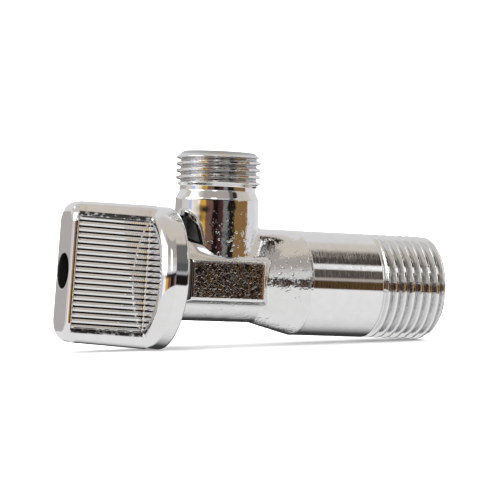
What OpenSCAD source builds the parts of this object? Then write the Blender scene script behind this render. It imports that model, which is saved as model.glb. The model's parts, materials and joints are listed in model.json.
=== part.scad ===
// Quarter-turn angle stop valve, G1/2 inlet and G3/8 outlet.
// Origin at the centre of the inlet end face. +X points out of the inlet, +Z out of the outlet,
// and the handle is at -X. Everything is drawn about the crossing of the two waterways and then
// moved back by inlet_reach. The handle is drawn in the open position, in line with the outlet.

/* [Body] */
// Distance from the crossing of the waterways to the inlet end face
inlet_reach = 46.7; // [44:0.1:60]
// Height of the outlet end face above the inlet axis
outlet_reach = 25.1; // [24:0.1:34]
// Outer radius of the inlet barrel at its start; it tapers out to the thread
barrel_r = 10.42; // [10.2:0.02:10.46]
// Outer radius of the neck behind the handle
neck_r = 8.15; // [8:0.05:8.6]
// Outer radius of the outlet riser at its foot
riser_r = 8.32; // [8.2:0.02:8.4]

/* [Threads] */
// Length of the inlet thread, with its end chamfer
inlet_thread_len = 14; // [10:0.5:16]
// Length of the outlet thread, with its end chamfer
outlet_thread_len = 6.7; // [6:0.1:8]

/* [Waterway] */
// Radius of the inlet bore
inlet_bore_r = 7.6; // [7.4:0.05:7.8]
// Radius of the outlet bore, which takes the outlet seat
outlet_bore_r = 5.6; // [5.2:0.05:5.8]
// Radius of the ball
ball_r = 6.4; // [6.3:0.05:6.5]
// Radius of the port through the ball
port_r = 3.5; // [2.5:0.1:3.6]

/* [Handle] */
// Distance from the crossing of the waterways to the far end of the handle
handle_reach = 31.2; // [29:0.1:40]
// Outer radius of the round handle base
base_r = 13.95; // [13:0.05:16]
// Half of the paddle's height at its far end
paddle_end_half = 13.5; // [12.5:0.05:13.9]
// Half of the paddle's thickness
paddle_half_t = 4.6; // [4.5:0.05:5.5]
// Ribs on each grip panel
rib_count = 20; // [10:1:24]

/* [Hidden] */
$fn = 96;

// Clearances
eps = 0.01;
fit = 0.05;
lap = 0.1;
cut = 1;

// Pipe threads: G1/2 (14 per inch) and G3/8 (19 per inch)
g12_r = 10.4775;
g12_pitch = 1.814;
g12_depth = 1.162;
g38_r = 8.331;
g38_pitch = 1.337;
g38_depth = 0.856;
crest_share = 0.22;

// Body stations along X, from the crossing of the waterways
neck_end_x = -13.4;
cone_start_x = 7.9;
cone_end_x = 15.9;
inlet_thread_x = inlet_reach - inlet_thread_len;
inlet_chamfer = 1.1;

// Body stations along Z
outlet_thread_z = outlet_reach - outlet_thread_len;
undercut_z = outlet_thread_z - 1.1;
shoulder_z = undercut_z - 1.5;
undercut_r = 7.5;
riser_draft = 0.1;
outlet_rim_r = 7;
outlet_chamfer = 0.9;

// Flat pads on the two sides of the body
pad_x = [-8, 7.1];
pad_half_z = 3.85;
pad_y = 9;
pad_draft = 0.9;

// Web between the riser and the barrel
web_low_z = 2;
web_half_y = 7;
web_taper = 0.1;
web_fillet_r = 2.2;
web_fillet_half_y = 4.5;

// Inner bores
chamber_r = 6.7;
chamber_back_x = -4.4;
collar_bore_r = 5;
collar_bore_x = -8.6;
retainer_bore_x = 10.05;
retainer_bore_end_x = 20;
retainer_bore_r = 7.3;
seat_gap = 0.05;
seat_hole_r = 3.7;
seat_nose_r = 4.5;
seat_front = 4.2;
seat_back = 8;
outlet_seat_flange_z = 4.7;
inlet_seat_flange_x = 5.7;

// Stem
stem_r = 3;
stem_bore_r = stem_r + fit;
collar_r = 4.75;
collar_x = [-7.9, -6.55];
tang_t = 2.9;
tang_x = -4.6;
tang_half_z = 4;
o_ring_x = [-9.7, -11.2];
o_ring_groove_w = 1.3;
o_ring_groove_r = 2.2;
o_ring_mid_r = 2.62;
o_ring_cs_r = 0.41;
clip_x = [-14.4, -13.9];
clip_groove_r = 2.5;
clip_r = 4.1;
clip_gap_w = 3.6;
square_w = 4.7;
square_corner_r = 2.9;
square_x = -14.65;
stem_end_x = -17.8;
tap_r = 1.52;
tap_x = -12.05;

// Bush, friction washer and stop pin at the end of the neck
bush_x = [-13.8, -12.2];
bush_r = 4.15;
washer_x = [-13.8, -13.43];
washer_r = [4.7, 7.6];
stop_ring_r = 6.3;
stop_pin_r = 0.8;
stop_pin_x = [-14.9, -10.4];
stop_angle = 135;
quarter_turn = 90;
stop_slack = 9;

// Handle stations along X
rim_x = -10.4;
hub_face_x = -13.85;
shoulder_x = -15.7;
shoulder_r = 11.3;
skirt_wall = 1.55;
clip_pocket_x = -14.7;
clip_pocket_r = 4.5;
socket_x = -17.9;
screw_seat_x = -19.1;
screw_hole_r = 3.4;
stop_slot_x = -15.1;
stop_slot_half_w = 1;
paddle_corner_r = 2.4;
paddle_edge_r = 2;
panel_half_z = 10.9;
panel_x = -30.1;
panel_y = 3.9;
rib_pitch = 2 * panel_half_z / rib_count;
rib_h = 0.22;
rib_top_share = 0.12;
rib_gap_share = 0.35;

// Handle screw and its washers
screw_r = 1.48;
screw_head_r = 2.8;
screw_head_h = 2;
screw_len = 8;
plain_washer_x = [-19.58, -19.12];
plain_washer_r = [1.65, 3.3];
spring_washer_x = [-20.38, -19.6];
spring_washer_r = [1.6, 3.1];
spring_gap_w = 0.5;
screw_head_x = -20.4;

// Seats and what holds them
outlet_o_ring_mid_r = 4.9;
outlet_o_ring_cs_r = 0.6;
outlet_retainer_z = [9.3, 13.3];
inlet_o_ring_mid_r = 5.6;
inlet_o_ring_cs_r = 0.7;
inlet_retainer_x = [9.55, 16];
inlet_retainer_hole_r = 4;
hex_socket_r = 5.3;
hex_socket_depth = 4;
driver_slot_w = 1.6;
driver_slot_depth = 1.4;

chrome = [0.78, 0.78, 0.79];
brass = [0.80, 0.66, 0.36];
steel = [0.62, 0.63, 0.65];
ptfe = [0.93, 0.93, 0.90];
rubber = [0.10, 0.10, 0.11];

module placed() {
    translate([-inlet_reach, 0, 0]) children();
}

// A turned solid about the inlet axis, from [radius, x] points
module turned_x(points) {
    rotate([0, 90, 0]) rotate_extrude() polygon(points);
}

// A turned solid about the outlet axis, from [radius, z] points
module turned_z(points) {
    rotate_extrude() polygon(points);
}

module ring_x(r_in, r_out, x) {
    turned_x([[r_in, x[0]], [r_out, x[0]], [r_out, x[1]], [r_in, x[1]]]);
}

module ring_z(r_in, r_out, z) {
    turned_z([[r_in, z[0]], [r_out, z[0]], [r_out, z[1]], [r_in, z[1]]]);
}

module o_ring_about_x(mid_r, cs_r, x) {
    translate([x, 0, 0]) rotate([0, 90, 0]) rotate_extrude() translate([mid_r, 0]) circle(r = cs_r, $fn = 48);
}

// Outline of one groove of a thread, between two crest lands
function groove(r, depth, pitch, at) = [
    [r, at + pitch * crest_share / 2],
    [r - depth, at + pitch * (1 - crest_share) / 2],
    [r - depth, at + pitch * (1 + crest_share) / 2],
    [r, at + pitch * (1 - crest_share / 2)]
];

// Outline of a run of grooves that starts at from and ends before to
function grooves(r, depth, pitch, from, to) = [
    for (i = [0 : floor((to - from) / pitch) - 1])
        each groove(r, depth, pitch, from + i * pitch)
];

function arc(centre, r, a0, a1, steps) = [
    for (i = [0 : steps])
        let (a = a0 + (a1 - a0) * i / steps)
            [centre[0] + r * cos(a), centre[1] + r * sin(a)]
];

module body_barrel() {
    turned_x(concat(
        [[0, cone_start_x], [neck_r, cone_start_x], [barrel_r, cone_end_x], [g12_r, inlet_thread_x]],
        grooves(g12_r, g12_depth, g12_pitch, inlet_thread_x, inlet_reach - inlet_chamfer + eps),
        [[g12_r, inlet_reach - inlet_chamfer], [g12_r - inlet_chamfer, inlet_reach], [0, inlet_reach]]
    ));
    ring_x(0, neck_r, [neck_end_x, cone_start_x]);
}

module body_riser() {
    turned_z(concat(
        [[0, 0], [riser_r, 0], [riser_r - riser_draft, shoulder_z], [undercut_r, undercut_z],
         [undercut_r, outlet_thread_z - eps], [g38_r, outlet_thread_z]],
        grooves(g38_r, g38_depth, g38_pitch, outlet_thread_z, outlet_reach - outlet_chamfer + eps),
        [[g38_r, outlet_reach - outlet_chamfer], [outlet_rim_r, outlet_reach], [0, outlet_reach]]
    ));
}

// Side pad with drafted walls, drawn through the body so that it stands out on both sides
module body_pads() {
    rotate([90, 0, 0]) translate([0, 0, -pad_y]) linear_extrude(2 * pad_y)
        polygon([[pad_x[0], -pad_half_z], [pad_x[1], -pad_half_z], [pad_x[1], pad_half_z], [pad_x[0], pad_half_z]]);
    translate([pad_x[0], 0, 0]) rotate([90, 0, 90]) linear_extrude(pad_x[1] - pad_x[0] + pad_draft)
        polygon([[-pad_y + pad_draft, -pad_half_z], [pad_y - pad_draft, -pad_half_z],
                 [pad_y - pad_draft, pad_half_z], [-pad_y + pad_draft, pad_half_z]]);
}

// The barrel's upper half runs on to the riser, and a fillet ties the two together
module body_web() {
    corner = [riser_r + web_fillet_r - fit, barrel_r + web_fillet_r - fit];
    swapped = [corner[1], corner[0]];
    intersection() {
        turned_x([[0, 0], [barrel_r - web_taper, 0], [barrel_r, cone_end_x], [0, cone_end_x]]);
        translate([0, -web_half_y, web_low_z]) cube([cone_end_x, 2 * web_half_y, barrel_r]);
    }
    intersection() {
        turned_z(concat([[0, 0], [corner[0], 0]], arc(corner, web_fillet_r, 270, 180, 12), [[0, corner[1]]]));
        turned_x(concat([[0, 0], [swapped[0], 0]], arc(swapped, web_fillet_r, 180, 270, 12),
                        [[swapped[0] - web_fillet_r, cone_end_x], [0, cone_end_x]]));
        translate([0, -web_fillet_half_y, web_low_z])
            cube([cone_start_x + web_fillet_r, 2 * web_fillet_half_y, 2 * barrel_r]);
    }
}

module body_bores() {
    turned_x([
        [0, neck_end_x - cut], [bush_r + fit, neck_end_x - cut], [bush_r + fit, bush_x[1] + fit],
        [stem_bore_r, bush_x[1] + fit], [stem_bore_r, collar_bore_x], [collar_bore_r, collar_bore_x],
        [collar_bore_r, chamber_back_x], [chamber_r, chamber_back_x], [chamber_r, retainer_bore_x],
        [retainer_bore_r, retainer_bore_x], [retainer_bore_r, retainer_bore_end_x],
        [inlet_bore_r, retainer_bore_end_x + 0.5], [inlet_bore_r, inlet_reach - 0.6],
        [inlet_bore_r + 0.6, inlet_reach], [inlet_bore_r + 0.6, inlet_reach + cut], [0, inlet_reach + cut]
    ]);
    turned_z([
        [0, 0], [outlet_bore_r, 0], [outlet_bore_r, outlet_reach - 0.4],
        [outlet_bore_r + 0.4, outlet_reach], [outlet_bore_r + 0.4, outlet_reach + cut], [0, outlet_reach + cut]
    ]);
    at_stop_pin() rotate([0, 90, 0]) translate([0, 0, neck_end_x - cut])
        cylinder(r = stop_pin_r + eps, h = stop_pin_x[1] - neck_end_x + cut + fit);
}

module at_stop_pin() {
    rotate([stop_angle, 0, 0]) translate([0, stop_ring_r, 0]) children();
}

module valve_body() {
    color(chrome) placed() difference() {
        union() {
            body_barrel();
            body_riser();
            body_pads();
            body_web();
        }
        body_bores();
    }
}

// The ball is drilled from the inlet side and from the outlet side, so its port turns the flow
// through a right angle. A slot on the handle side takes the stem's tang.
module ball() {
    color(chrome) placed() difference() {
        sphere(r = ball_r);
        rotate([0, 90, 0]) cylinder(r = port_r, h = ball_r + cut);
        cylinder(r = port_r, h = ball_r + cut);
        sphere(r = port_r);
        translate([-ball_r - cut, -tang_t / 2 - fit, -ball_r - cut])
            cube([ball_r + cut + tang_x + fit, tang_t + 2 * fit, 2 * (ball_r + cut)]);
    }
}

module stem() {
    groove_w = o_ring_groove_w / 2;
    color(brass) placed() difference() {
        union() {
            turned_x([
                [0, square_x], [stem_r, square_x], [stem_r, clip_x[0] - fit], [clip_groove_r, clip_x[0] - fit],
                [clip_groove_r, clip_x[1] + fit], [stem_r, clip_x[1] + fit],
                [stem_r, o_ring_x[1] - groove_w], [o_ring_groove_r, o_ring_x[1] - groove_w],
                [o_ring_groove_r, o_ring_x[1] + groove_w], [stem_r, o_ring_x[1] + groove_w],
                [stem_r, o_ring_x[0] - groove_w], [o_ring_groove_r, o_ring_x[0] - groove_w],
                [o_ring_groove_r, o_ring_x[0] + groove_w], [stem_r, o_ring_x[0] + groove_w],
                [stem_r, collar_x[0]], [collar_r, collar_x[0]], [collar_r, collar_x[1]], [0, collar_x[1]]
            ]);
            translate([collar_x[0] + cut, -tang_t / 2, -tang_half_z])
                cube([tang_x - collar_x[0] - cut, tang_t, 2 * tang_half_z]);
            intersection() {
                translate([stem_end_x, -square_w / 2, -square_w / 2])
                    cube([square_x - stem_end_x + lap, square_w, square_w]);
                ring_x(0, square_corner_r, [stem_end_x - cut, square_x + cut]);
            }
        }
        rotate([0, 90, 0]) translate([0, 0, stem_end_x - cut]) cylinder(r = tap_r, h = tap_x - stem_end_x + cut);
    }
}

module stem_thrust_washer() {
    color(ptfe) placed() ring_x(stem_r + 2 * fit, collar_r - fit, [collar_bore_x + fit, collar_x[0] - fit]);
}

module stem_o_ring_inner() {
    color(rubber) placed() o_ring_about_x(o_ring_mid_r, o_ring_cs_r, o_ring_x[0]);
}

module stem_o_ring_outer() {
    color(rubber) placed() o_ring_about_x(o_ring_mid_r, o_ring_cs_r, o_ring_x[1]);
}

module stem_guide_bush() {
    color(brass) placed() ring_x(stem_bore_r, bush_r, bush_x);
}

// C-shaped ring in the stem's groove, open on one side
module stem_retaining_clip() {
    color(steel) placed() difference() {
        ring_x(clip_groove_r + fit, clip_r, clip_x);
        translate([clip_x[0] - cut, -clip_gap_w / 2, 0])
            cube([clip_x[1] - clip_x[0] + 2 * cut, clip_gap_w, clip_r + cut]);
    }
}

module stop_pin() {
    color(steel) placed() at_stop_pin() rotate([0, 90, 0]) translate([0, 0, stop_pin_x[0]])
        cylinder(r = stop_pin_r, h = stop_pin_x[1] - stop_pin_x[0]);
}

module handle_friction_washer() {
    color(ptfe) placed() difference() {
        ring_x(washer_r[0], washer_r[1], washer_x);
        at_stop_pin() rotate([0, 90, 0]) translate([0, 0, washer_x[0] - cut])
            cylinder(r = stop_pin_r + fit, h = 2 * cut + washer_x[1] - washer_x[0]);
    }
}

// Round base of the handle, with a rounded front edge
module handle_base() {
    edge_r = base_r - shoulder_r;
    turned_x(concat(
        [[0, shoulder_x]],
        arc([shoulder_r, shoulder_x + edge_r], edge_r, 270, 360, 12),
        [[base_r, rim_x - 0.4], [base_r - 0.4, rim_x], [0, rim_x]]
    ));
}

// Paddle: three outlines crossed, each with its own rounded corners
module handle_paddle() {
    c = paddle_corner_r;
    e = paddle_edge_r;
    far = -handle_reach;
    near = hub_face_x;
    intersection() {
        rotate([90, 0, 0]) translate([0, 0, -paddle_half_t - cut]) linear_extrude(2 * (paddle_half_t + cut))
            polygon(concat(
                arc([far + c, -paddle_end_half + c], c, 180, 270, 8),
                [[near, -base_r], [near, base_r]],
                arc([far + c, paddle_end_half - c], c, 90, 180, 8)
            ));
        translate([0, 0, -base_r - cut]) linear_extrude(2 * (base_r + cut))
            polygon(concat(
                arc([far + e, -paddle_half_t + e], e, 180, 270, 8),
                [[near, -paddle_half_t], [near, paddle_half_t]],
                arc([far + e, paddle_half_t - e], e, 90, 180, 8)
            ));
        translate([far - cut, 0, 0]) rotate([90, 0, 90]) linear_extrude(near - far + 2 * cut)
            polygon(concat(
                arc([paddle_half_t - e, -base_r + e], e, 270, 360, 8),
                arc([paddle_half_t - e, base_r - e], e, 0, 90, 8),
                arc([-paddle_half_t + e, base_r - e], e, 90, 180, 8),
                arc([-paddle_half_t + e, -base_r + e], e, 180, 270, 8)
            ));
    }
}

// Comb outline with rib_count ribs and flat gaps between them, as [height, z] points
function comb(floor_h, back_h) = concat(
    [[back_h, -panel_half_z], [floor_h, -panel_half_z]],
    [for (i = [0 : rib_count - 1])
        let (z = -panel_half_z + (i + 0.5) * rib_pitch)
        let (top = rib_pitch * rib_top_share / 2, foot = rib_pitch * (1 - rib_gap_share) / 2)
            each [
                [floor_h, z - foot],
                [floor_h + rib_h, z - top],
                [floor_h + rib_h, z + top],
                [floor_h, z + foot]
            ]],
    [[floor_h, panel_half_z], [back_h, panel_half_z]]
);

// Grip panels sunk into both faces of the paddle and into the shoulder of the base
module handle_grip_cuts() {
    for (side = [0, 1])
        mirror([0, side, 0]) {
            translate([panel_x, panel_y, -panel_half_z])
                cube([shoulder_x - panel_x, base_r, 2 * panel_half_z]);
            intersection() {
                ring_x(0, shoulder_r, [shoulder_x - eps, shoulder_x + rib_h]);
                translate([shoulder_x - cut, panel_y, -panel_half_z]) cube([2 * cut, base_r, 2 * panel_half_z]);
            }
        }
}

// Ribs along both grip panels, which turn the corner and run out over the shoulder
module handle_grip_ribs() {
    for (side = [0, 1])
        mirror([0, side, 0]) {
            translate([panel_x - eps, 0, 0]) rotate([90, 0, 90])
                linear_extrude(shoulder_x - panel_x + rib_h + 2 * eps)
                    polygon(comb(panel_y, panel_y - rib_h));
            intersection() {
                translate([shoulder_x + rib_h, 0, 0]) rotate([90, 0, 0]) mirror([1, 0, 0])
                    translate([0, 0, -base_r]) linear_extrude(base_r - panel_y + eps) polygon(comb(0, -rib_h));
                ring_x(0, shoulder_r, [shoulder_x - cut, rim_x]);
            }
        }
}

module handle_hollows() {
    ring_x(0, base_r - skirt_wall, [hub_face_x, rim_x + cut]);
    ring_x(0, clip_pocket_r, [clip_pocket_x, hub_face_x + cut]);
    translate([socket_x, -square_w / 2 - fit, -square_w / 2 - fit])
        cube([hub_face_x - socket_x, square_w + 2 * fit, square_w + 2 * fit]);
    ring_x(0, screw_hole_r, [-handle_reach - cut, screw_seat_x]);
    ring_x(0, screw_r + 4 * fit, [screw_seat_x - cut, socket_x + cut]);
    stop_slot();
}

function polar(r, a) = [r * cos(a), r * sin(a)];

// Curved slot in the hub face that lets the stop pin travel a quarter turn
module stop_slot() {
    a0 = stop_angle - quarter_turn - stop_slack;
    a1 = stop_angle + stop_slack;
    outer = stop_ring_r + stop_slot_half_w;
    intersection() {
        ring_x(stop_ring_r - stop_slot_half_w, outer, [stop_slot_x, hub_face_x + cut]);
        translate([stop_slot_x - cut, 0, 0]) rotate([90, 0, 90]) linear_extrude(4 * cut)
            polygon([[0, 0], polar(2 * outer, a0), polar(3 * outer, (a0 + a1) / 2), polar(2 * outer, a1)]);
    }
}

module handle() {
    color(chrome) placed() difference() {
        union() {
            difference() {
                union() {
                    handle_base();
                    handle_paddle();
                }
                handle_grip_cuts();
            }
            handle_grip_ribs();
        }
        handle_hollows();
    }
}

module handle_screw() {
    color(steel) placed() difference() {
        union() {
            ring_x(0, screw_head_r, [screw_head_x - screw_head_h, screw_head_x]);
            ring_x(0, screw_r, [screw_head_x - eps, screw_head_x + screw_len]);
        }
        translate([screw_head_x - screw_head_h - cut, -0.4, -screw_head_r - cut])
            cube([cut + screw_head_h / 2, 0.8, 2 * (screw_head_r + cut)]);
    }
}

module handle_spring_washer() {
    color(steel) placed() difference() {
        ring_x(spring_washer_r[0], spring_washer_r[1], spring_washer_x);
        translate([spring_washer_x[0] - cut, -spring_gap_w / 2, 0])
            cube([spring_washer_x[1] - spring_washer_x[0] + 2 * cut, spring_gap_w, spring_washer_r[1] + cut]);
    }
}

module handle_plain_washer() {
    color(steel) placed() ring_x(plain_washer_r[0], plain_washer_r[1], plain_washer_x);
}

// Outline of a seat with a narrow nose that reaches the ball, as [radius, distance] points
function seat_outline(outer_r, flange) = [
    [seat_hole_r, seat_front], [seat_nose_r, seat_front], [seat_nose_r, flange],
    [outer_r, flange], [outer_r, seat_back], [seat_hole_r, seat_back]
];

module outlet_seat() {
    color(ptfe) placed() difference() {
        turned_z(seat_outline(outlet_bore_r - fit, outlet_seat_flange_z));
        sphere(r = ball_r + seat_gap);
    }
}

module outlet_seat_o_ring() {
    color(rubber) placed() translate([0, 0, seat_back + outlet_o_ring_cs_r + fit])
        rotate_extrude() translate([outlet_o_ring_mid_r, 0]) circle(r = outlet_o_ring_cs_r, $fn = 48);
}

module outlet_seat_retainer() {
    color(brass) placed() difference() {
        ring_z(seat_hole_r, outlet_bore_r - fit, outlet_retainer_z);
        translate([-outlet_bore_r, -driver_slot_w / 2, outlet_retainer_z[1] - driver_slot_depth])
            cube([2 * outlet_bore_r, driver_slot_w, driver_slot_depth + cut]);
    }
}

module inlet_seat() {
    color(ptfe) placed() difference() {
        turned_x(seat_outline(chamber_r - fit, inlet_seat_flange_x));
        sphere(r = ball_r + seat_gap);
    }
}

module inlet_seat_o_ring() {
    color(rubber) placed() o_ring_about_x(inlet_o_ring_mid_r, inlet_o_ring_cs_r, seat_back + inlet_o_ring_cs_r + fit);
}

module inlet_seat_retainer() {
    thread_r = retainer_bore_r - fit;
    nose_r = chamber_r - 2 * fit;
    nose_x = retainer_bore_x + fit;
    color(brass) placed() difference() {
        turned_x([
            [inlet_retainer_hole_r, inlet_retainer_x[0]], [nose_r, inlet_retainer_x[0]], [nose_r, nose_x],
            [thread_r, nose_x], [thread_r, inlet_retainer_x[1]], [inlet_retainer_hole_r, inlet_retainer_x[1]]
        ]);
        rotate([0, 90, 0]) translate([0, 0, inlet_retainer_x[1] - hex_socket_depth])
            cylinder(r = hex_socket_r, h = hex_socket_depth + cut, $fn = 6);
    }
}

valve_body();
ball();
stem();
stem_thrust_washer();
stem_o_ring_inner();
stem_o_ring_outer();
stem_guide_bush();
stem_retaining_clip();
stop_pin();
handle_friction_washer();
handle();
handle_screw();
handle_spring_washer();
handle_plain_washer();
outlet_seat();
outlet_seat_o_ring();
outlet_seat_retainer();
inlet_seat();
inlet_seat_o_ring();
inlet_seat_retainer();
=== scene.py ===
import json
import math

import bpy
import numpy as np
from mathutils import Matrix, Quaternion, Vector


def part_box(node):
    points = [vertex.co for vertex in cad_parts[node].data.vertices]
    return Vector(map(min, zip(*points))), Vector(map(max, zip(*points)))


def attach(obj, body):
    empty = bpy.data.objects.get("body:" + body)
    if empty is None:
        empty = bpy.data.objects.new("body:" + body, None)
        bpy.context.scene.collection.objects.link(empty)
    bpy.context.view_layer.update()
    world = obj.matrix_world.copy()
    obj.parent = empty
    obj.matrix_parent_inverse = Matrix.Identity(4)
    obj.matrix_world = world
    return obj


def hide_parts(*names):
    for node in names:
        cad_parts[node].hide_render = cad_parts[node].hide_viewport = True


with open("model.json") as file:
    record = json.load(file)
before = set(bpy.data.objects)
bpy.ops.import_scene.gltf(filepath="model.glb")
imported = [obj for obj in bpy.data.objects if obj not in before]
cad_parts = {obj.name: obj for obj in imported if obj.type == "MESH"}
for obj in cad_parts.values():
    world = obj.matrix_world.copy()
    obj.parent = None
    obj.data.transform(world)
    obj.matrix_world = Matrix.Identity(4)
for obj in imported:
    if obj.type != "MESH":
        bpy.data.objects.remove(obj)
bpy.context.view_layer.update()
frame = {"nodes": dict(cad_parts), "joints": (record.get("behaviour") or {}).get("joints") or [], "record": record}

# All shapes are worked out in millimetres about the crossing of the two waterways, then moved
# to the row frame in metres.
MM = 0.001
nodes = frame["nodes"]
mounts = {m["name"]: m for m in frame["record"]["mounts"]}
crossing = Vector(frame["joints"][0]["pos_m"])


def node_box(name):
    return [(corner - crossing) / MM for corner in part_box(name)]


body_lo, body_hi = node_box("valve_body")
handle_lo, handle_hi = node_box("handle")

# ---------------------------------------------------------------- driving dimensions
INLET_R = mounts["inlet_thread"]["dims"]["r_mm"]
OUTLET_R = mounts["outlet_thread"]["dims"]["r_mm"]
INLET_END = body_hi.x
OUTLET_END = body_hi.z
NECK_END = body_lo.x
HANDLE_END = handle_lo.x
RIM_X = handle_hi.x
BASE_R = handle_hi.y

BARREL_R = INLET_R - 0.055
NECK_R = 8.15
CONE_START, CONE_END = 7.7, 16.5
FORGED_END = 16.9
FORGED_STEP = 0.045
CONE_ROUNDING = 0.45
WEB_START, WEB_FULL = 3.2, 7.6
WEB_ROUNDING, WEB_EDGE_K = 0.9, 0.5
CROTCH_R = 1.1
FORGING_WAVE, FORGING_RELIEF = 1.6, 0.022

RISER_R = OUTLET_R - 0.01
SHOULDER_Z, UNDERCUT_Z, THREAD_Z = OUTLET_END - 9.3, OUTLET_END - 7.8, OUTLET_END - 6.7
UNDERCUT_R = 7.5
OUTLET_RIM_R = 7.0
OUTLET_CHAMFER = 0.9
OUTLET_PITCH, OUTLET_DEPTH = 1.337, 0.856
OUTLET_CREST_Z = OUTLET_END - 1.28
OUTLET_CREST_TURN = math.radians(158)

INLET_PITCH, INLET_DEPTH = 1.814, 1.162
INLET_THREAD_START = INLET_END - 14.9
INLET_FULL_START = INLET_END - 13.0
INLET_ROOT_X = INLET_END - 12.3
INLET_CHAMFER = 1.1
INLET_CREST_SHARE, OUTLET_CREST_SHARE = 0.2, 0.3

PAD_X = (-8.0, 7.1)
PAD_HALF_Z = 3.85
PAD_Y = 9.0
PAD_END_SLOPES, PAD_SIDE_SLOPE = (0.8, 0.9), 0.35
PAD_ROUNDING = 0.4

INLET_BORE_R, OUTLET_BORE_R = 7.6, 5.6
GUIDE_BORE_END, GUIDE_BORE_R = -12.15, 4.2
STEM_BORE_END, STEM_BORE_R = -8.6, 3.05
COLLAR_BORE_END, COLLAR_BORE_R = -4.4, 5.0
BALL_BORE_END, BALL_BORE_R = 10.0, 6.7
RETAINER_BORE_END, RETAINER_BORE_R = 20.0, 7.3
BORE_STEP, BORE_ROUNDING = 0.05, 0.12

SHOULDER_X = RIM_X - 5.3
BASE_EDGE_R = 2.65
BASE_DRAFT = 0.06
RIB_ZONE_R = BASE_R - BASE_EDGE_R
HUB_X = RIM_X - 3.45
SKIRT_R = BASE_R - 1.55
PADDLE_HALF_T = 4.6
PADDLE_END_HALF = 13.5
PANEL_X = HANDLE_END + 1.1
PANEL_Y = 3.9
PANEL_HALF_Z = 10.9
FRAME_START, FRAME_SLOPE = 0.35, 0.62
FRAME_EDGE_R = 1.2
RIB_COUNT = 20
RIB_PITCH = 2 * PANEL_HALF_Z / RIB_COUNT
RIB_H = 0.22
RIB_GAP = 0.19
SCREW_HOLE_R = 3.4
SCREW_SEAT_X = HANDLE_END + 12.1
SCREW_BORE_R = 1.68
HUB_POCKET_R, HUB_POCKET_DEPTH = 4.5, 0.85
SQUARE_HALF, SQUARE_DEPTH = 2.4, 4.05
HANDLE_PLAY = math.radians(2.0)


# ---------------------------------------------------------------- distance fields
def rmax(a, b, r):
    """Both a and b, with the edge between them rounded to radius r."""
    u, v = a + r, b + r
    return np.hypot(np.maximum(u, 0), np.maximum(v, 0)) + np.minimum(np.maximum(u, v), 0) - r


def rmin(a, b, r):
    """Either a or b, with a fillet of radius r between them."""
    return -rmax(-a, -b, r)


def smin(a, b, k):
    h = np.clip(0.5 + 0.5 * (b - a) / k, 0, 1)
    return b + (a - b) * h - k * h * (1 - h)


def smooth_step(t):
    t = np.clip(t, 0, 1)
    return t * t * (3 - 2 * t)


def profile(points, width):
    """A piecewise straight profile with its corners rounded over about width, as a function."""
    at, height = zip(*points)
    fine = np.linspace(at[0] - 4 * width, at[-1] + 4 * width, 6000)
    rough = np.interp(fine, at, height)
    step = fine[1] - fine[0]
    reach = np.arange(-int(3 * width / step), int(3 * width / step) + 1) * step
    weight = np.exp(-0.5 * (reach / (width / 2)) ** 2)
    padded = np.pad(rough, len(reach) // 2, mode="edge")
    smooth = np.convolve(padded, weight / weight.sum(), mode="valid")
    return lambda v: np.interp(v, fine, smooth)


def lattice_noise(seed):
    """Smooth noise between about -1 and 1, with features one unit across."""
    table = np.random.default_rng(seed).uniform(-1, 1, (32, 32, 32))

    def noise(x, y, z):
        cells = [np.floor(c).astype(int) for c in (x, y, z)]
        parts = [smooth_step(c - i) for c, i in zip((x, y, z), cells)]
        total = 0.0
        for corner in range(8):
            bits = [(corner >> k) & 1 for k in range(3)]
            index = tuple((i + b) % 32 for i, b in zip(cells, bits))
            weight = 1.0
            for part, b in zip(parts, bits):
                weight = weight * (part if b else 1 - part)
            total = total + table[index] * weight
        return total

    return noise


def groove_share(phase, share):
    """How deep a thread groove is at a phase in turns: 1 at the root, 0 on the crest."""
    off_root = np.abs(phase - np.round(phase))
    flank = 1 - np.clip((off_root - share / 2) / (0.5 - share), 0, 1)
    return 0.7 * flank + 0.3 * smooth_step(flank)


neck_profile = profile(
    [(NECK_END, NECK_R), (CONE_START, NECK_R), (CONE_END, BARREL_R), (INLET_END, INLET_R)], CONE_ROUNDING)
full_profile = profile(
    [(WEB_START, NECK_R), (WEB_FULL, BARREL_R), (CONE_END, BARREL_R), (INLET_END, INLET_R)], WEB_ROUNDING)
web_half = profile([(6.0, 5.6), (9.5, 5.0), (12.0, 4.3), (CONE_END, 2.2)], 0.8)
riser_profile = profile(
    [(0, RISER_R), (SHOULDER_Z - 0.3, RISER_R - 0.1), (SHOULDER_Z, RISER_R - 0.12), (UNDERCUT_Z, UNDERCUT_R),
     (THREAD_Z - 0.1, UNDERCUT_R), (THREAD_Z + 0.4, OUTLET_R), (OUTLET_END - OUTLET_CHAMFER, OUTLET_R),
     (OUTLET_END, OUTLET_RIM_R)], 0.16)
inlet_bore = profile(
    [(NECK_END - 1, GUIDE_BORE_R), (GUIDE_BORE_END, GUIDE_BORE_R),
     (GUIDE_BORE_END + BORE_STEP, STEM_BORE_R), (STEM_BORE_END, STEM_BORE_R),
     (STEM_BORE_END + BORE_STEP, COLLAR_BORE_R), (COLLAR_BORE_END, COLLAR_BORE_R),
     (COLLAR_BORE_END + BORE_STEP, BALL_BORE_R), (BALL_BORE_END, BALL_BORE_R),
     (BALL_BORE_END + BORE_STEP, RETAINER_BORE_R), (RETAINER_BORE_END, RETAINER_BORE_R),
     (RETAINER_BORE_END + 0.5, INLET_BORE_R), (INLET_END - 0.6, INLET_BORE_R),
     (INLET_END + 0.4, INLET_BORE_R + 1.0)], BORE_ROUNDING)
outlet_bore = profile(
    [(0, OUTLET_BORE_R), (OUTLET_END - 0.4, OUTLET_BORE_R), (OUTLET_END + 0.6, OUTLET_BORE_R + 1.0)],
    BORE_ROUNDING)
forging_noise = lattice_noise(7)


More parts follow.
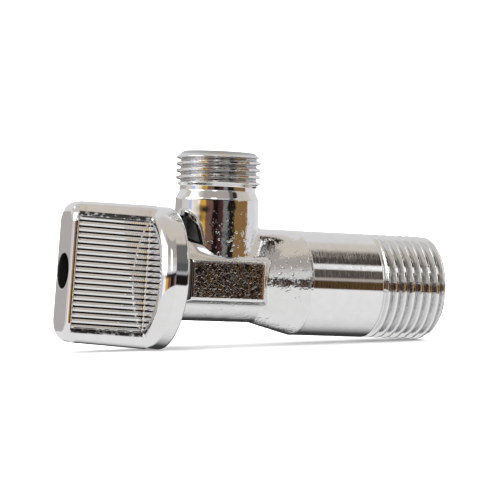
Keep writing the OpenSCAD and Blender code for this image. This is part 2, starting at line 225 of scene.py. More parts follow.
def barrel_radius(x, y, z):
    """Radius of the neck, the cone and the barrel, with the web that joins them above and below."""
    cone, full = neck_profile(x), full_profile(x)
    turn = np.arctan2(np.abs(y), z)
    edge = np.arcsin(np.clip(web_half(x) / full, 0, 0.99))
    tangent = edge + np.arccos(np.clip(cone / full, 0, 1))
    side = cone / np.cos(np.clip(tangent - turn, 0, 1.3))
    k = WEB_EDGE_K * np.clip((full - cone) / 0.6, 0, 1) + 1e-3
    radius = smin(full, side, k)
    radius = np.where(x > CONE_END + 0.3, cone, radius)
    return radius + FORGED_STEP * (1 - smooth_step((x - FORGED_END) / 0.18 + 0.5))


def body_field(x, y, z):
    """Below 0 inside the forging. Divisors bring sloped faces back to about a true distance."""
    off_inlet, off_outlet = np.hypot(y, z), np.hypot(x, y)
    radius = barrel_radius(x, y, z)
    phase = (x - INLET_ROOT_X) / INLET_PITCH - (np.arctan2(z, y) - math.pi) / (2 * math.pi)
    run_out = smooth_step((x - INLET_THREAD_START) / (INLET_FULL_START - INLET_THREAD_START))
    radius = radius - INLET_DEPTH * run_out * groove_share(phase, INLET_CREST_SHARE)
    chamfer = (off_inlet - (INLET_R - INLET_CHAMFER) + x - INLET_END) / math.sqrt(2)
    barrel = rmax(rmax(off_inlet - radius, x - INLET_END, 0.1), chamfer, 0.25)

    phase = (z - OUTLET_CREST_Z) / OUTLET_PITCH - (np.arctan2(y, x) - OUTLET_CREST_TURN) / (2 * math.pi) + 0.5
    run_out = smooth_step((z - THREAD_Z) / 0.5) * smooth_step((OUTLET_END - OUTLET_CHAMFER + 0.15 - z) / 0.3)
    radius = riser_profile(z) - OUTLET_DEPTH * run_out * groove_share(phase, OUTLET_CREST_SHARE)
    chamfer = (off_outlet - OUTLET_RIM_R + 1.2 * (z - OUTLET_END)) / 1.56
    riser = rmax(rmax(off_outlet - radius, z - OUTLET_END, 0.1), chamfer, 0.15)
    riser = rmax(riser, -z, 1.0)

    fillet = CROTCH_R + 0.1 * smooth_step((x - 3) / 4)
    outer = rmin(barrel, riser, fillet)

    depth = PAD_Y - np.abs(y)
    near_handle = PAD_X[0] - PAD_END_SLOPES[0] * depth - x
    near_inlet = x - PAD_X[1] - PAD_END_SLOPES[1] * depth
    sides = (np.abs(z) - PAD_HALF_Z - PAD_SIDE_SLOPE * depth) / 1.06
    pad = rmax(np.maximum(near_handle, near_inlet) / 1.3, sides, 0.5)
    outer = rmin(outer, rmax(pad, -depth, PAD_ROUNDING), PAD_ROUNDING)
    forged = (1 - smooth_step((x - FORGED_END + 0.4) / 0.4)) * (1 - smooth_step((z - SHOULDER_Z) / 0.5))
    unevenness = forging_noise(x / FORGING_WAVE, y / FORGING_WAVE, z / FORGING_WAVE)
    outer = outer + forged * FORGING_RELIEF * unevenness
    outer = rmax(outer, NECK_END - x, 0.25)

    inner = np.minimum(off_inlet - inlet_bore(x), np.maximum(off_outlet - outlet_bore(z), -z))
    return rmax(outer, -inner, 0.12)


def comb(x, z):
    """Height of the grip ribs above the panel's floor."""
    turns = z / RIB_PITCH - 0.5
    off_crest = np.abs(turns - np.round(turns)) * RIB_PITCH
    height = RIB_H * np.clip(1 - off_crest / (RIB_PITCH / 2 - RIB_GAP), 0, 1)
    return height * smooth_step((x - PANEL_X) / 0.8)


def handle_field(x, y, z):
    """Below 0 inside the handle, before it is tilted by its play."""
    off_axis = np.hypot(y, z)
    ay, az = np.abs(y), np.abs(z)
    base = rmax(off_axis - BASE_R + BASE_DRAFT * (RIM_X - x), SHOULDER_X - x, BASE_EDGE_R)
    half = PADDLE_END_HALF + (BASE_R - PADDLE_END_HALF) * (x - HANDLE_END) / (HUB_X - HANDLE_END)
    corner = 1.1 + 1.6 * smooth_step((az - half + 4) / 3)
    fall = FRAME_SLOPE * np.maximum(az - PANEL_HALF_Z - FRAME_START, 0)
    face = (ay - PADDLE_HALF_T + fall) / math.hypot(1, FRAME_SLOPE)
    paddle = rmax(rmax(face, az - half, FRAME_EDGE_R), HANDLE_END - x, corner)
    paddle = np.maximum(paddle, x - HUB_X)
    solid = rmin(base, paddle, 0.5)

    height = comb(x, z)
    rise = ay - PANEL_Y
    wall_z = (az - (PANEL_HALF_Z - 0.05) - 0.8 * rise) / 1.28
    wall_x = PANEL_X - 0.3 * rise - x
    floor = rmax(height - rise, x - (SHOULDER_X + RIB_H - height), 0.12)
    recess = rmax(rmax(floor, wall_z, 0.12), wall_x, 0.2)
    recess = np.maximum(recess, np.minimum(off_axis - RIB_ZONE_R, x - SHOULDER_X + 0.02))
    solid = rmax(solid, -recess, 0.14)

    solid = rmax(solid, x - RIM_X, 0.6)
    return rmax(solid, -handle_hollow(x, y, z), 0.22)


def handle_hollow(x, y, z):
    """The skirt's inside, the pocket and the square for the stem, and the screw's bore and access hole."""
    off_axis = np.hypot(y, z)
    ay, az = np.abs(y), np.abs(z)
    skirt = rmax(off_axis - SKIRT_R, HUB_X - x, 0.6)
    pocket = np.maximum(off_axis - HUB_POCKET_R, HUB_X - HUB_POCKET_DEPTH - x)
    socket = np.maximum(np.maximum(ay, az) - SQUARE_HALF, HUB_X - SQUARE_DEPTH - x)
    hole = rmax(off_axis - SCREW_HOLE_R, x - SCREW_SEAT_X, 0.2)
    bore = off_axis - SCREW_BORE_R
    return np.minimum(np.minimum(skirt, pocket), np.minimum(np.minimum(socket, bore), hole))


# ---------------------------------------------------------------- surfaces from the fields
CORNERS = [(i, j, k) for i in (0, 1) for j in (0, 1) for k in (0, 1)]
EDGES = [(a, b) for a in range(8) for b in range(a + 1, 8)
         if sum(p != q for p, q in zip(CORNERS[a], CORNERS[b])) == 1]


def spaced(*runs):
    """Grid lines from (from, to, step) runs that follow each other."""
    lines = [np.linspace(a, b, max(2, round((b - a) / h) + 1)) for a, b, h in runs]
    return np.concatenate([lines[0]] + [line[1:] for line in lines[1:]])


def gradient(field, p, h=0.012):
    g = np.empty_like(p)
    for k in range(3):
        step = np.zeros(3)
        step[k] = h
        g[:, k] = (field(*(p + step).T) - field(*(p - step).T)) / (2 * h)
    return g


def surface_of(field, xs, ys, zs):
    """The field's zero surface on a grid of boxes: vertices, quads and outward normals."""
    grid = np.meshgrid(xs, ys, zs, indexing="ij")
    value = field(*grid)
    inside = value < 0
    n = [len(a) - 1 for a in (xs, ys, zs)]

    def shifted(a, c):
        return a[c[0]:c[0] + n[0], c[1]:c[1] + n[1], c[2]:c[2] + n[2]]

    count = sum(shifted(inside, c).astype(np.int8) for c in CORNERS)
    mixed = (count > 0) & (count < 8)
    index = np.full(mixed.shape, -1)
    index[mixed] = np.arange(mixed.sum())
    cell = np.argwhere(mixed)
    f8 = np.stack([shifted(value, c)[mixed] for c in CORNERS], 1)
    p8 = np.stack(
        [np.stack([a[cell[:, k] + c[k]] for k, a in enumerate((xs, ys, zs))], 1) for c in CORNERS], 1)
    total, weight = np.zeros((len(cell), 3)), np.zeros((len(cell), 1))
    for a, b in EDGES:
        crosses = ((f8[:, a] < 0) != (f8[:, b] < 0))[:, None]
        t = (f8[:, a] / np.where(f8[:, a] == f8[:, b], 1, f8[:, a] - f8[:, b]))[:, None]
        total += np.where(crosses, p8[:, a] + np.clip(t, 0, 1) * (p8[:, b] - p8[:, a]), 0)
        weight += crosses
    points = total / weight
    reach = 0.5 * (p8.max(1) - p8.min(1))
    for _ in range(4):
        g = gradient(field, points)
        step = field(*points.T)[:, None] * g / np.maximum((g * g).sum(1), 1e-3)[:, None]
        points = points - np.clip(step, -reach, reach)
    quads = []
    for axis in range(3):
        low = [slice(1, -1)] * 3
        high = [slice(1, -1)] * 3
        low[axis], high[axis] = slice(0, -1), slice(1, None)
        a, b = inside[tuple(low)], inside[tuple(high)]
        other = [k for k in range(3) if k != axis]
        if axis == 1:
            other = other[::-1]
        for leaves, turn in ((a & ~b, 1), (b & ~a, -1)):
            at = np.argwhere(leaves)
            at[:, other] += 1
            ring = []
            for back in ((1, 1), (0, 1), (0, 0), (1, 0))[::turn]:
                q = at.copy()
                q[:, other[0]] -= back[0]
                q[:, other[1]] -= back[1]
                ring.append(index[tuple(q.T)])
            quads.append(np.stack(ring, 1))
    normals = gradient(field, points)
    normals /= np.linalg.norm(normals, axis=1)[:, None]
    return points, np.concatenate(quads), normals


def make_piece(name, points, quads, normals, masks):
    mesh = bpy.data.meshes.new(name)
    mesh.vertices.add(len(points))
    mesh.vertices.foreach_set("co", ((points * MM) + np.array(crossing)).astype(np.float32).ravel())
    mesh.loops.add(quads.size)
    mesh.loops.foreach_set("vertex_index", quads.astype(np.int32).ravel())
    mesh.polygons.add(len(quads))
    mesh.polygons.foreach_set("loop_start", np.arange(0, quads.size, 4, dtype=np.int32))
    mesh.update(calc_edges=True)
    mesh.validate()
    mesh.polygons.foreach_set("use_smooth", np.ones(len(mesh.polygons), bool))
    for key, values in masks.items():
        mesh.attributes.new(key, "FLOAT", "POINT").data.foreach_set("value", values.astype(np.float32))
    mesh.normals_split_custom_set_from_vertices(normals.astype(np.float32).tolist())
    piece = bpy.data.objects.new(name, mesh)
    bpy.context.scene.collection.objects.link(piece)
    return piece


# Grids are fine along threads, ribs and edges, and coarse where a face runs straight
coarse = 1.0
side = 0.34 * coarse
body_points, body_quads, body_normals = surface_of(
    body_field,
    spaced((NECK_END - 0.5, NECK_END + 0.5, 0.12 * coarse), (NECK_END + 0.5, FORGED_END - 0.4, 0.32 * coarse),
           (FORGED_END - 0.4, FORGED_END + 0.4, 0.08), (FORGED_END + 0.4, INLET_THREAD_START - 0.2, 0.9),
           (INLET_THREAD_START - 0.2, INLET_END + 0.3, 0.13 * coarse)),
    spaced((-INLET_R - 0.4, INLET_R + 0.4, side)),
    spaced((-INLET_R - 0.4, SHOULDER_Z - 0.3, side), (SHOULDER_Z - 0.3, THREAD_Z, 0.16 * coarse),
           (THREAD_Z, OUTLET_END + 0.3, 0.105 * coarse)))
x, y, z = body_points.T
off_inlet, off_outlet = np.hypot(y, z), np.hypot(x, y)
outside = np.maximum(off_inlet - inlet_bore(x), 0) * np.maximum(off_outlet - outlet_bore(z), 0) > 0.02
before_barrel = 1 - smooth_step((x - FORGED_END + 0.1) / 0.1)
below_shoulder = 1 - smooth_step((z - SHOULDER_Z - 0.2) / 0.3)
forged = outside * before_barrel * below_shoulder
facing_side = smooth_step((np.abs(body_normals[:, 1]) - 0.93) / 0.05)
on_face = facing_side * smooth_step((np.abs(y) - PAD_Y + 0.15) / 0.1)
in_pad = on_face * (np.abs(z) < PAD_HALF_Z + 0.2) * (x > PAD_X[0] - 0.4) * (x < PAD_X[1] + 0.4)
before_thread = 1 - smooth_step((x - INLET_THREAD_START + 0.2) / 0.2)
turned = outside * smooth_step((x - FORGED_END) / 0.2) * before_thread
on_inlet_thread = smooth_step((x - INLET_THREAD_START) / 0.5)
on_outlet_thread = smooth_step((z - THREAD_Z) / 0.4)
threaded = outside * np.maximum(on_inlet_thread, on_outlet_thread)
# The groove mask marks the thread roots: the material paints shade there by darkening the base colour, and also
# roughens them
crest = np.where(z > THREAD_Z, off_outlet - OUTLET_R + OUTLET_DEPTH, off_inlet - INLET_R + INLET_DEPTH)
groove_height = np.where(z > THREAD_Z, 0.7, 0.3)
on_end_face = (body_normals[:, 0] >= 0.9) | (body_normals[:, 2] >= 0.93)
groove = threaded * (1 - smooth_step(crest / groove_height)) * ~on_end_face
# The forging's skin is roughest low on the riser and towards the inlet
skin = forged * (0.25 + 0.75 * smooth_step((15.5 - z) / 9)) * smooth_step((x + 5.5) / 3) * (1 - 0.8 * in_pad)
body = make_piece(
    "valve_body_forging", body_points, body_quads, body_normals,
    {"skin": skin, "pad": in_pad * forged, "turned": turned, "threaded": threaded, "groove": groove})

# The grip ribs need ten grid lines each, and the grid's fine part ends a little past them
across_rib = RIB_PITCH / 10 * coarse
GRIP_Z = PANEL_HALF_Z + 0.654
face_step, side_step = 0.11 * coarse, 0.36 * coarse
points, quads, normals = surface_of(
    handle_field,
    spaced((HANDLE_END - 0.3, HANDLE_END + 2.0, 0.14 * coarse), (HANDLE_END + 2.0, SHOULDER_X - 0.5, 0.5),
           (SHOULDER_X - 0.5, SHOULDER_X + 2.8, 0.15 * coarse),
           (SHOULDER_X + 2.8, RIM_X + 0.3, 0.28 * coarse)),
    spaced((-BASE_R - 0.3, -PADDLE_HALF_T - 0.4, side_step),
           (-PADDLE_HALF_T - 0.4, -PANEL_Y + 0.3, face_step),
           (-PANEL_Y + 0.3, PANEL_Y - 0.3, 0.22 * coarse), (PANEL_Y - 0.3, PADDLE_HALF_T + 0.4, face_step),
           (PADDLE_HALF_T + 0.4, BASE_R + 0.3, side_step)),
    spaced((-BASE_R - 0.3, -GRIP_Z, 0.25 * coarse), (-GRIP_Z, GRIP_Z, across_rib),
           (GRIP_Z, BASE_R + 0.3, 0.25 * coarse)))
# The handle sits a little crooked on its square, tilted about the middle of the hub
play = np.array(Matrix.Rotation(HANDLE_PLAY, 3, "Y"))
hub = np.array([HUB_X, 0, 0])
x, y, z = points.T
inside = handle_hollow(x, y, z) < 0.1
# Painted shade on the walls above and below the ribs: this band's base colour goes near black to stand in for the
# shade in these corners
off_ribs = np.abs(np.abs(z) - PANEL_HALF_Z - 0.25)
sunk = (np.abs(y) < PADDLE_HALF_T - 0.05) * (x > PANEL_X) * (x < SHOULDER_X + 0.2)
painted_shade_band = (1 - smooth_step((off_ribs - 0.32) / 0.2)) * sunk
handle = make_piece("handle_casting", (points - hub) @ play.T + hub, quads, normals @ play.T,
                    {"inside": inside, "painted_shade_band": painted_shade_band})


# ---------------------------------------------------------------- materials
def new_material(name):
    material = bpy.data.materials.new(name)
    material.use_nodes = True
    tree = material.node_tree
    tree.nodes.clear()
    out = tree.nodes.new("ShaderNodeOutputMaterial")
    shader = tree.nodes.new("ShaderNodeBsdfPrincipled")
    tree.links.new(shader.outputs[0], out.inputs[0])
    return material, tree, shader


def put(tree, kind, inputs=None, **settings):
    """A node with its settings, and its inputs given as numbers or as other nodes' outputs."""
    node = tree.nodes.new(kind)
    for key, value in settings.items():
        setattr(node, key, value)
    for key, value in (inputs or {}).items():
        if isinstance(value, bpy.types.NodeSocket):
            tree.links.new(value, node.inputs[key])
        else:
            node.inputs[key].default_value = value
    return node


def math_node(tree, operation, a, b=0.0, c=0.0):
    return put(tree, "ShaderNodeMath", {0: a, 1: b, 2: c}, operation=operation).outputs[0]


def ramp(tree, factor, stops):
    node = put(tree, "ShaderNodeValToRGB", {0: factor})
    elements = node.color_ramp.elements
    while len(elements) < len(stops):
        elements.new(0.5)
    for element, (position, colour) in zip(elements, stops):
        element.position = position
        element.color = (*colour, 1) if len(colour) == 3 else colour
    return node.outputs[0]


def blend(tree, factor, a, b):
    return put(tree, "ShaderNodeMix", {0: factor, 6: a, 7: b}, data_type="RGBA").outputs[2]


def grey(v):
    return (v, v, v)


def noise(tree, where, scale, detail=3.0, rough=0.55):
    """Noise with about scale features to the metre."""
    inputs = {"Vector": where, "Scale": scale, "Detail": detail, "Roughness": rough}
    return put(tree, "ShaderNodeTexNoise", inputs, noise_dimensions="3D").outputs[0]


def mask_of(tree, key):
    return put(tree, "ShaderNodeAttribute", attribute_name=key, attribute_type="GEOMETRY").outputs["Fac"]


def coordinates(tree, scale=(1, 1, 1)):
    where = put(tree, "ShaderNodeTexCoord").outputs["Object"]
    return put(tree, "ShaderNodeMapping", {"Vector": where, "Scale": scale}).outputs[0]


def bump(tree, height, distance, strength, normal=None):
    """Relief of distance metres, on top of an earlier bump if one is given."""
    inputs = {"Height": height, "Distance": distance, "Strength": strength}
    if normal is not None:
        inputs["Normal"] = normal
    return put(tree, "ShaderNodeBump", inputs).outputs[0]


PLATE = (0.84, 0.84, 0.845)


def chrome_body():
    material, tree, shader = new_material("chrome_on_forging")
    where = coordinates(tree)
    skin, pad, groove = mask_of(tree, "skin"), mask_of(tree, "pad"), mask_of(tree, "groove")
    turned, threaded = mask_of(tree, "turned"), mask_of(tree, "threaded")
    grain = noise(tree, where, 1900.0, 2.0, 0.5)
    waves = noise(tree, where, 800.0, 2.0, 0.5)
    specks = ramp(tree, noise(tree, where, 1250.0, 1.0, 0.5), [(0.62, grey(0.0)), (0.74, grey(1.0))])
    marks = noise(tree, coordinates(tree, (1, 0.02, 0.02)), 5200.0, 3.0, 0.75)
    beads = noise(tree, where, 1500.0, 2.0, 0.5)
    pad_grain = ramp(tree, noise(tree, where, 1500.0, 2.5, 0.6), [(0.40, grey(0.0)), (0.62, grey(1.0))])
    normal = bump(tree, grain, 0.00004, skin)
    normal = bump(tree, waves, 0.00005, math_node(tree, "MULTIPLY", skin, 0.7), normal)
    normal = bump(tree, specks, 0.00005, math_node(tree, "MULTIPLY", skin, 0.8), normal)
    normal = bump(tree, pad_grain, 0.000019, pad, normal)
    normal = bump(tree, marks, 0.000016, turned, normal)
    normal = bump(tree, beads, 0.00004, math_node(tree, "MULTIPLY", threaded, 0.7), normal)
    tree.links.new(normal, shader.inputs["Normal"])
    smear = noise(tree, where, 260.0, 4.0, 0.6)
    rough = math_node(tree, "MULTIPLY_ADD", smear, 0.05, 0.02)
    rough = math_node(tree, "MULTIPLY_ADD", turned, 0.02, rough)
    rough = math_node(tree, "MULTIPLY_ADD", groove, 0.12, rough)
    tree.links.new(rough, shader.inputs["Roughness"])
    plate = ramp(tree, noise(tree, where, 500.0, 3.0), [(0.3, (0.80, 0.80, 0.80)), (0.65, PLATE)])
    # Painted shade: the base colour darkens towards the thread roots
    plate_and_painted_light = blend(tree, math_node(tree, "MULTIPLY", groove, 0.6), plate, (0.22, 0.215, 0.21, 1))
    # Painted reflection: the pad's base colour is darkened towards brown, standing in for the dark and brown parts
    # of the studio that the pad mirrors
    plate_and_painted_light = blend(tree, math_node(tree, "MULTIPLY", pad, 0.6), plate_and_painted_light, (0.44, 0.37, 0.31, 1))
    tree.links.new(plate_and_painted_light, shader.inputs["Base Color"])
    shader.inputs["Metallic"].default_value = 1.0
    return material


def chrome_handle():
    material, tree, shader = new_material("chrome_on_casting")
    where = coordinates(tree)
    inside, painted_shade_band = mask_of(tree, "inside"), mask_of(tree, "painted_shade_band")
    waves = noise(tree, where, 170.0, 2.0, 0.5)
    skin = noise(tree, where, 700.0, 3.0, 0.6)
    normal = bump(tree, waves, 0.00005, 0.25)
    normal = bump(tree, skin, 0.000008, 0.5, normal)
    tree.links.new(normal, shader.inputs["Normal"])
    smear = noise(tree, where, 190.0, 4.0, 0.6)
    rough = math_node(tree, "MULTIPLY_ADD", smear, 0.05, 0.02)
    rough = math_node(tree, "MULTIPLY_ADD", inside, 0.35, rough)
    tree.links.new(math_node(tree, "MULTIPLY_ADD", painted_shade_band, 0.12, rough), shader.inputs["Roughness"])
    plate = ramp(tree, noise(tree, where, 400.0, 3.0), [(0.3, (0.81, 0.81, 0.81)), (0.65, PLATE)])
    # Painted shade: the band above and below the ribs is darkened to near black, in patches
    patchy_painted_shade = ramp(tree, noise(tree, where, 1000.0, 2.0), [(0.36, grey(0.2)), (0.50, grey(1.0))])
    plate_and_painted_light = blend(tree, math_node(tree, "MULTIPLY", painted_shade_band, patchy_painted_shade), plate, (0.06, 0.055, 0.05, 1))
    plate_and_painted_light = blend(tree, inside, plate_and_painted_light, (0.16, 0.158, 0.155, 1))
    tree.links.new(plate_and_painted_light, shader.inputs["Base Color"])
    shader.inputs["Metallic"].default_value = 1.0
    return material


def turned_metal(name, dark, light, rough_low, rough_span):
    """Machined metal with fine tool marks and a little staining."""
    material, tree, shader = new_material(name)
    where = coordinates(tree)
    marks = noise(tree, coordinates(tree, (1, 0.05, 0.05)), 6000.0, 3.0, 0.7)
    tree.links.new(bump(tree, marks, 0.00001, 0.4), shader.inputs["Normal"])
    stain = noise(tree, where, 420.0, 4.0, 0.6)
    tree.links.new(ramp(tree, stain, [(0.3, dark), (0.7, light)]), shader.inputs["Base Color"])
    tree.links.new(math_node(tree, "MULTIPLY_ADD", stain, rough_span, rough_low), shader.inputs["Roughness"])
    shader.inputs["Metallic"].default_value = 1.0
    return material


def moulded(name, dark, light, rough_low, rough_span, grain, depth):
    """Moulded PTFE or rubber with a fine grain."""
    material, tree, shader = new_material(name)
    where = coordinates(tree)
    skin = noise(tree, where, grain, 4.0, 0.6)
    tree.links.new(bump(tree, skin, depth, 0.5), shader.inputs["Normal"])
    stain = noise(tree, where, 350.0, 3.0)
    tree.links.new(ramp(tree, stain, [(0.3, dark), (0.7, light)]), shader.inputs["Base Color"])
    tree.links.new(math_node(tree, "MULTIPLY_ADD", skin, rough_span, rough_low), shader.inputs["Roughness"])
    return material


body.data.materials.append(chrome_body())
handle.data.materials.append(chrome_handle())
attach(body, "fixed_body")
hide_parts("valve_body")
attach(handle, "turning_stem")
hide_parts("handle")

finishes = {
    "chrome_ball": turned_metal("chrome_ball_polish", (0.80, 0.80, 0.81), (0.88, 0.88, 0.88), 0.04, 0.05),
    "brass": turned_metal("turned_brass", (0.62, 0.44, 0.17), (0.80, 0.62, 0.30), 0.16, 0.2),
    "steel": turned_metal("stainless_steel", (0.50, 0.50, 0.51), (0.64, 0.64, 0.65), 0.18, 0.18),
    "ptfe": moulded("white_ptfe", (0.82, 0.81, 0.78), (0.90, 0.90, 0.88), 0.35, 0.2, 3000.0, 0.00001),
    "rubber": moulded(
        "black_rubber", (0.018, 0.018, 0.019), (0.035, 0.035, 0.036), 0.45, 0.25, 4000.0, 0.00002),
}
slots = {s["node"]: s["material_slot"] for s in frame["record"]["subparts"]}
# Bevel widths in millimetres; rubber has none
BEVELLED = {"steel": 0.06, "brass": 0.08, "chrome_ball": 0.1, "ptfe": 0.06}
for name, node in nodes.items():
    if slots[name] not in finishes:
        continue
    node.data.materials.clear()
    node.data.materials.append(finishes[slots[name]])
    if slots[name] in BEVELLED:
        weld = node.modifiers.new("weld", "WELD")
        weld.merge_threshold = 1e-6
        edge = node.modifiers.new("edge", "BEVEL")
        edge.width = BEVELLED[slots[name]] * MM
        edge.segments = 2
        edge.limit_method = "ANGLE"
        edge.angle_limit = math.radians(40)
        edge.harden_normals = True

# ---------------------------------------------------------------- camera
CAMERA_AZIMUTH, CAMERA_ELEVATION, CAMERA_ROLL = (math.radians(degrees) for degrees in (-22.02, 0.72, 2.53))
CAMERA_DISTANCE = 0.42
SENSOR = 36.0
FOCAL_PER_FRAME = 4.2702
CROSSING_LEFT, CROSSING_BELOW = 0.0725, 0.0594
outward = Vector((math.sin(CAMERA_AZIMUTH) * math.cos(CAMERA_ELEVATION),
                  -math.cos(CAMERA_AZIMUTH) * math.cos(CAMERA_ELEVATION), math.sin(CAMERA_ELEVATION)))
camera = bpy.data.objects.new("camera", bpy.data.cameras.new("camera"))
bpy.context.scene.collection.objects.link(camera)
camera.data.sensor_width = SENSOR
camera.data.lens = SENSOR * FOCAL_PER_FRAME
camera.data.clip_start, camera.data.clip_end = 0.05, 20.0
facing = (-outward).to_track_quat("-Z", "Y") @ Quaternion((0, 0, 1), CAMERA_ROLL)
to_crossing = Vector((-CROSSING_LEFT / FOCAL_PER_FRAME, -CROSSING_BELOW / FOCAL_PER_FRAME, -1))
camera.rotation_mode = "QUATERNION"
camera.rotation_quaternion = facing @ to_crossing.rotation_difference(Vector((0, 0, -1)))
camera.location = crossing + outward * CAMERA_DISTANCE
bpy.context.scene.camera = camera

# ---------------------------------------------------------------- floor, resting under handle and thread
handle_foot = Vector((HUB_X + 1.5, 0, -BASE_R))
thread_foot = Vector((INLET_END - INLET_CHAMFER, 0, -INLET_R))
slope = (thread_foot.z - handle_foot.z) / (thread_foot.x - handle_foot.x)
floor_up = Vector((-slope, 0, 1)).normalized()
floor_at = crossing + handle_foot * MM - floor_up * 0.00005
FLOOR_HALF = 4.0
floor_mesh = bpy.data.meshes.new("floor")
floor_mesh.from_pydata(
    [(-FLOOR_HALF, -FLOOR_HALF, 0), (FLOOR_HALF, -FLOOR_HALF, 0), (FLOOR_HALF, FLOOR_HALF, 0),
     (-FLOOR_HALF, FLOOR_HALF, 0)], [], [(0, 1, 2, 3)])
floor = bpy.data.objects.new("floor", floor_mesh)
bpy.context.scene.collection.objects.link(floor)
floor.rotation_mode = "QUATERNION"
floor.rotation_quaternion = Vector((0, 0, 1)).rotation_difference(floor_up)
floor.location = floor_at
floor_material, _, floor_shader = new_material("pale_floor")
floor_shader.inputs["Base Color"].default_value = (0.93, 0.93, 0.93, 1)
floor_shader.inputs["Roughness"].default_value = 0.9
floor_shader.inputs["Specular IOR Level"].default_value = 0.0
floor_mesh.materials.append(floor_material)
floor.visible_glossy = False

# Soft light from above for the floor and the matt parts
overhead = bpy.data.objects.new("overhead", bpy.data.lights.new("overhead", "AREA"))
overhead.data.shape = "DISK"
overhead.data.size = 3.0
overhead.data.energy = 6.0
overhead.location = floor_at + floor_up * 1.6 + Vector((0.2, -0.3, 0))
overhead.rotation_mode = "QUATERNION"
overhead.rotation_quaternion = (-floor_up).to_track_quat("-Z", "Y")
overhead.visible_glossy = False
overhead.visible_camera = False
bpy.context.scene.collection.objects.link(overhead)

# ---------------------------------------------------------------- studio, as the chrome sees it
world = bpy.data.worlds.new("studio")
bpy.context.scene.world = world
world.use_nodes = True
tree = world.node_tree
tree.nodes.clear()
front = (outward - floor_up * outward.dot(floor_up)).normalized()
right = floor_up.cross(-front).normalized() * -1
direction = put(tree, "ShaderNodeTexCoord").outputs["Generated"]


def along(axis):
    node = put(tree, "ShaderNodeVectorMath", {0: direction, 1: tuple(axis)}, operation="DOT_PRODUCT")
    return node.outputs["Value"]


to_front, to_right, to_up = along(front), along(right), along(floor_up)
elevation = math_node(tree, "MULTIPLY", math_node(tree, "ARCSINE", to_up), 180 / math.pi)
azimuth = math_node(tree, "MULTIPLY", math_node(tree, "ARCTAN2", to_right, to_front), 180 / math.pi)


def mix(factor, a, b):
    return blend(tree, factor, a, b)


def share(value, low, high):
    """0 at low and 1 at high, straight between them and level outside."""
    return put(tree, "ShaderNodeMapRange", {0: value, 1: low, 2: high, 3: 0.0, 4: 1.0}).outputs[0]


def window(left, right_end, low, high, edge=3.0):
    """1 inside a rectangle of azimuths and elevations."""
    sides = math_node(
        tree, "MULTIPLY", share(azimuth, left, left + edge), share(azimuth, right_end, right_end - edge))
    rows = math_node(tree, "MULTIPLY", share(elevation, low, low + edge), share(elevation, high, high - edge))
    return math_node(tree, "MULTIPLY", sides, rows)


def rgb(r, g, b):
    """Linear radiance that chrome shows as this display colour."""
    return tuple(min((max(v, 0) / 255 + 0.055) / 1.055, 1.2) ** 2.4 / 0.84 for v in (r, g, b))


def by_degrees(factor, low, high, stops, width):
    """Bands of colour by angle: (end of the band, colour), each fading into the next over width."""
    marks = []
    for number, (end, colour) in enumerate(stops):
        start = stops[number - 1][0] if number else low
        for at in (start + width / 2, end - width / 2):
            marks.append(((at - low) / (high - low), colour))
    return ramp(tree, share(factor, low, high), marks)


# The room at eye level by azimuth, then the room above it by elevation: on surfaces that mirror
# the right, the middle and the left of the studio, which to_wall tells apart
around = by_degrees(azimuth, -180, 180, [
    (-150, rgb(162, 158, 156)), (-112, rgb(170, 165, 163)), (-84, rgb(205, 200, 198)),
    (-72, rgb(176, 190, 226)), (-49, rgb(250, 240, 226)), (-31, rgb(206, 158, 70)),
    (-11, rgb(112, 84, 74)), (5, rgb(24, 17, 16)), (18, rgb(66, 40, 38)), (30, rgb(118, 118, 116)),
    (50, rgb(26, 22, 22)), (92, rgb(128, 98, 60)), (128, rgb(210, 210, 214)),
    (180, rgb(216, 216, 218))], 4.5)
above_right = by_degrees(elevation, 0, 90, [
    (6, rgb(62, 50, 44)), (12, rgb(164, 152, 142)), (28, rgb(72, 62, 55)), (38, rgb(255, 255, 255)),
    (62, rgb(50, 42, 38)), (90, rgb(206, 199, 190))], 1.6)
above_middle = by_degrees(elevation, 0, 90, [
    (6, rgb(60, 58, 58)), (11, rgb(165, 165, 168)), (24, rgb(84, 84, 86)), (52, rgb(102, 100, 98)),
    (90, rgb(200, 192, 182))], 4.0)
above_left = by_degrees(elevation, 0, 90, [
    (11, rgb(34, 31, 33)), (22, rgb(206, 206, 206)), (34, rgb(188, 185, 182)), (62, rgb(160, 155, 150)),
    (90, rgb(197, 188, 176))], 4.0)
front_to_back = share(to_front, -1.0, 1.0)
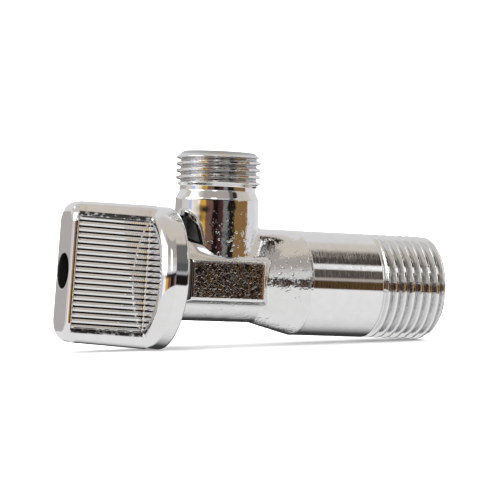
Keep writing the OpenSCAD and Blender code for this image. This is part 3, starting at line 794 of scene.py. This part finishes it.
behind = ramp(tree, front_to_back,
              [(0.0, grey(0.75)), (0.27, grey(0.76)), (0.34, (0.66, 0.62, 0.57)), (1.0, (0.62, 0.56, 0.5))])
# Painted shadow: towards the back the floor the chrome mirrors goes nearly black, where the object's own shadow
# would fall
below = ramp(tree, front_to_back,
             [(0.0, grey(0.03)), (0.13, grey(0.06)), (0.2, grey(0.34)), (0.32, grey(0.72)), (0.5, grey(0.86)),
              (1.0, (0.90, 0.90, 0.885))])

LAMP, WARM_LAMP = (2.4, 2.4, 2.4, 1), (2.4, 2.4, 2.35, 1)
WALL_END, EVEN_FLOOR = (0.62, 0.58, 0.52, 1), (0.84, 0.84, 0.83, 1)
to_wall = along((1, 0, 0))
slant = math_node(tree, "MULTIPLY_ADD", elevation, -0.003, to_wall)
above = mix(share(slant, 0.06, 0.13), above_left, above_middle)
above = mix(share(to_wall, 0.372, 0.392), above, above_right)
above = mix(share(to_wall, 0.52, 0.58), above, WALL_END)
above = mix(window(-18, 2, 13, 50, 7.0), above, LAMP)
front_share = math_node(tree, "MULTIPLY", share(azimuth, -75, -45), share(azimuth, 112, 88))
high_colour = mix(front_share, mix(share(elevation, 30, 60), around, behind), above)
high_colour = mix(share(to_front, 0.05, -0.15), high_colour, behind)
sky = mix(share(elevation, 4, 7), around, high_colour)
sky = mix(window(-100, -42, 7, 48, 6.0), sky, WARM_LAMP)
# The chrome sees this even floor towards the handle, and one that darkens to the back towards the wall: painted
# shadow, standing in for the object's own shadow on the floor behind it
floor_with_painted_shadow = mix(share(to_wall, 0.12, 0.26), EVEN_FLOOR, below)
studio = mix(share(elevation, -11, -9), floor_with_painted_shadow, sky)
# The chrome mirrors the studio; the camera and the matt surfaces get an even white one
studio_light = put(tree, "ShaderNodeBackground", {"Color": studio, "Strength": 1.0}).outputs[0]
backdrop = put(tree, "ShaderNodeBackground", {"Color": (1, 1, 1, 1), "Strength": 2.4}).outputs[0]
light_path = put(tree, "ShaderNodeLightPath")
seen = math_node(tree, "MAXIMUM", light_path.outputs["Is Camera Ray"], light_path.outputs["Is Diffuse Ray"])
mixed = put(tree, "ShaderNodeMixShader", {0: seen, 1: studio_light, 2: backdrop}).outputs[0]
put(tree, "ShaderNodeOutputWorld", {"Surface": mixed})
bpy.context.scene.view_settings.view_transform = "Standard"
